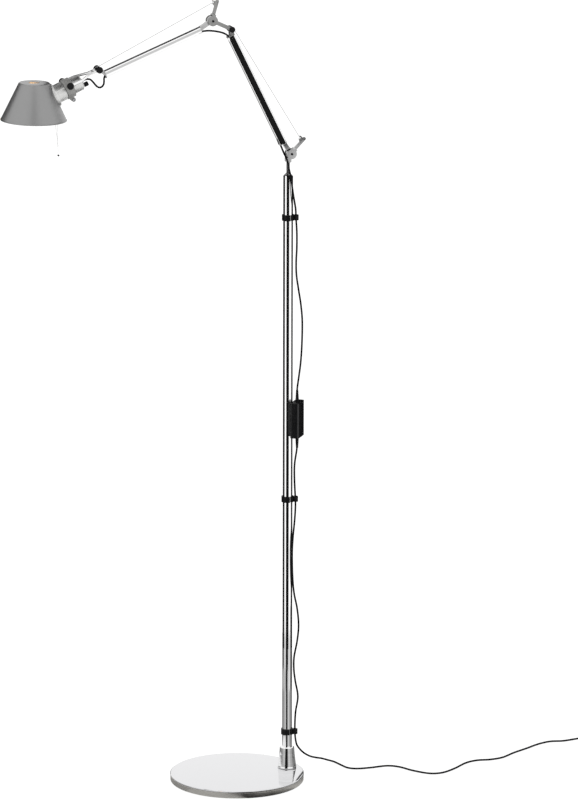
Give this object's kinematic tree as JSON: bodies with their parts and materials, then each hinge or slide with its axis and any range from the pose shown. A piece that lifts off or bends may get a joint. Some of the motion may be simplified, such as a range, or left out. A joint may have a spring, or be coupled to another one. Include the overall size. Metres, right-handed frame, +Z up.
{
  "type": "pharmacy floor lamp",
  "caption": "Slim floor lamp: round weighted base, thin pole, spring-balanced folding arms and a small tilting metal shade with a corded supply.",
  "frame": {"origin": "centre of the base's underside, on the floor", "axes": "+Z up along the pole; +X from the base centre towards the pole; the arms lie in the XZ plane and reach towards -X; hinge axes run along Y"},
  "size_m": [1.1301, 0.23, 1.3596],
  "materials": {
    "pad": "matte non-slip pad",
    "weight_steel": "satin turned steel",
    "polished_plate": "polished plate",
    "steel_fastener": "plain machined",
    "collar_chrome": "polished",
    "pole_polished": "mirror polished tube",
    "black_plastic": "satin moulded",
    "cord_black": "smooth sheathed cord",
    "board_green": "printed board",
    "tie_grey": "twist tie",
    "pin_plated": "plated pin",
    "cast_bright": "bright die-cast",
    "cast_grey": "matte die-cast, darker",
    "tube_polished": "mirror polished tube",
    "spring_steel": "oiled spring wire",
    "cable_steel": "thin steel cable",
    "fork_plate": "polished flat bar",
    "ring_grey": "matte cast, dark grey",
    "holder_satin": "satin",
    "ceramic": "white socket body",
    "bulb_glass": "warm lit glass",
    "shade_satin": "satin anodised sheet",
    "handle_wire": "bright wire"
  },
  "bodies": {
    "stand": {"base_pad": "pad", "base_weight": "weight_steel", "base_cover": "polished_plate", "pole_bolt": "steel_fastener", "pole_foot_plug": "steel_fastener", "pole_collar": "collar_chrome", "collar_screw": "steel_fastener", "pole_tube": "pole_polished", "pole_top_bush": "black_plastic", "cord_clip_top": "black_plastic", "cord_clip_middle": "black_plastic", "cord_clip_bottom": "black_plastic", "upper_lead": "cord_black", "driver_case": "black_plastic", "driver_lid": "black_plastic", "driver_board": "board_green", "driver_screws": "steel_fastener", "driver_strain_reliefs": "black_plastic", "lower_lead": "cord_black", "lead_coil": "cord_black", "coil_tie": "tie_grey", "plug_body": "black_plastic", "plug_pins": "pin_plated", "swivel_cord": "cord_black"},
    "shoulder": {"shoulder_casting": "cast_bright", "shoulder_pin": "black_plastic"},
    "lower_arm": {"shoulder_cord": "cord_black", "lower_tube": "tube_polished", "lower_tube_foot": "cast_bright", "elbow_casting": "cast_grey", "elbow_pin": "black_plastic", "lower_spring": "spring_steel", "lower_spring_anchor": "steel_fastener", "lower_pulley_pin": "black_plastic", "lower_tension_cable": "cable_steel", "elbow_cord": "cord_black"},
    "lower_pulley": {"lower_pulley": "black_plastic"},
    "upper_arm": {"upper_tube": "tube_polished", "upper_tube_foot": "cast_bright", "upper_tube_head": "cast_bright", "wrist_pin": "black_plastic", "upper_spring": "spring_steel", "upper_spring_anchor": "steel_fastener", "upper_tension_cable": "cable_steel", "head_cord": "cord_black"},
    "upper_pulley": {"upper_pulley": "black_plastic"},
    "fork": {"head_fork": "fork_plate", "head_pivots": "black_plastic", "holder_cord": "cord_black"},
    "ring": {"holder_ring": "ring_grey", "ring_screw": "steel_fastener"},
    "lamp_head": {"holder_front": "holder_satin", "holder_rear": "holder_satin", "lamp_socket": "ceramic", "bulb_cap": "pin_plated", "bulb_glass": "bulb_glass", "shade": "shade_satin", "wire_handle": "handle_wire", "handle_tip": "black_plastic"},
    "button": {"switch_button": "black_plastic"}
  },
  "joints": [
    {"name": "pole_swivel", "type": "hinge", "parent": "stand", "child": "shoulder", "pos_m": [0.091, 0, 1.0536], "axis": [0, 0, 1], "range_deg": [-170, 170], "deforming": ["swivel_cord"]},
    {"name": "shoulder_hinge", "type": "hinge", "parent": "shoulder", "child": "lower_arm", "pos_m": [0.0955, 0, 1.0904], "axis": [0, 1, 0], "range_deg": [-50, 25], "deforming": ["shoulder_cord", "lower_tension_cable", "lower_spring"]},
    {"name": "lower_pulley_turn", "type": "hinge", "parent": "lower_arm", "child": "lower_pulley", "pos_m": [-0.01062, 0, 1.30856], "axis": [0, 1, 0], "range_deg": [-178, 356]},
    {"name": "elbow_hinge", "type": "hinge", "parent": "lower_arm", "child": "upper_arm", "pos_m": [-0.04424, 0, 1.32456], "axis": [0, 1, 0], "range_deg": [-55, 50], "deforming": ["elbow_cord", "upper_tension_cable", "upper_spring"]},
    {"name": "upper_pulley_turn", "type": "hinge", "parent": "upper_arm", "child": "upper_pulley", "pos_m": [-0.24299, 0, 1.25348], "axis": [0, 1, 0], "range_deg": [-336, 370]},
    {"name": "wrist_hinge", "type": "hinge", "parent": "upper_arm", "child": "fork", "pos_m": [-0.24299, 0, 1.25348], "axis": [0, 1, 0], "range_deg": [-50, 50], "deforming": ["head_cord"]},
    {"name": "head_tilt", "type": "hinge", "parent": "fork", "child": "ring", "pos_m": [-0.29835, 0, 1.23223], "axis": [0, 1, 0], "range_deg": [-60, 60], "deforming": ["holder_cord"]},
    {"name": "head_roll", "type": "hinge", "parent": "ring", "child": "lamp_head", "pos_m": [-0.31906, 0, 1.2146], "axis": [0.9184, 0, 0.3955], "range_deg": [-80, 80]},
    {"name": "switch_press", "type": "slide", "parent": "lamp_head", "child": "button", "axis": [-0.9184, 0, -0.3955], "range_m": [0, 0.0015], "stiffness_N_per_m": 400, "springref_m": -0.002}
  ],
  "couplings": [
    {"joint": "lower_pulley_turn", "follows": "shoulder_hinge", "ratio": -7.1},
    {"joint": "upper_pulley_turn", "follows": "elbow_hinge", "ratio": -6.7}
  ]
}
